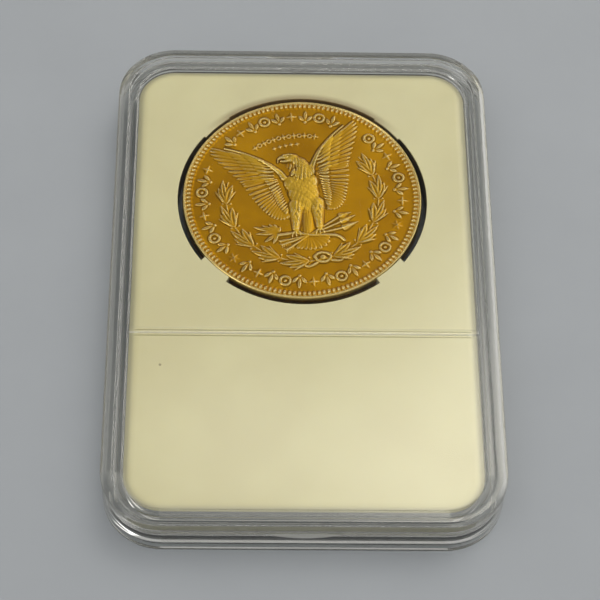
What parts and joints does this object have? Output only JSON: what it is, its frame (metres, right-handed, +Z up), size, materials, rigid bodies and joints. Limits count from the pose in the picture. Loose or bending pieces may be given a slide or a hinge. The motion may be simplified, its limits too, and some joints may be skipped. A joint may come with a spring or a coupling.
{
  "type": "graded coin slab",
  "caption": "Flat rectangular coin holder: clear snap-together shells with stacking rims, closed over a cream insert that grips a large reeded coin and hides a label card.",
  "frame": {"origin": "middle of the footprint, on the face that the slab rests on", "axes": "+X across the width, +Y along the length towards the coin's end, +Z up out of the coin's reverse side"},
  "size_m": [0.0594, 0.0866, 0.0082],
  "materials": {
    "lower_shell_clear": "gloss",
    "upper_shell_clear": "gloss",
    "core_cream": "satin",
    "coin_gold": "satin",
    "label_paper": "matte"
  },
  "bodies": {
    "lower_shell": {"lower_shell": "lower_shell_clear"},
    "label_card": {"label_card": "label_paper"},
    "core_insert": {"core_insert": "core_cream"},
    "coin": {"coin": "coin_gold"},
    "upper_shell": {"upper_shell": "upper_shell_clear"}
  },
  "joints": [
    {"name": "label_card_lift", "type": "slide", "parent": "lower_shell", "child": "label_card", "axis": [0, 0, 1], "range_m": [0, 0.01]},
    {"name": "core_insert_lift", "type": "slide", "parent": "label_card", "child": "core_insert", "axis": [0, 0, 1], "range_m": [0, 0.012]},
    {"name": "coin_lift", "type": "slide", "parent": "core_insert", "child": "coin", "axis": [0, 0, 1], "range_m": [0, 0.012]},
    {"name": "upper_shell_lift", "type": "slide", "parent": "coin", "child": "upper_shell", "axis": [0, 0, 1], "range_m": [0, 0.015]}
  ]
}
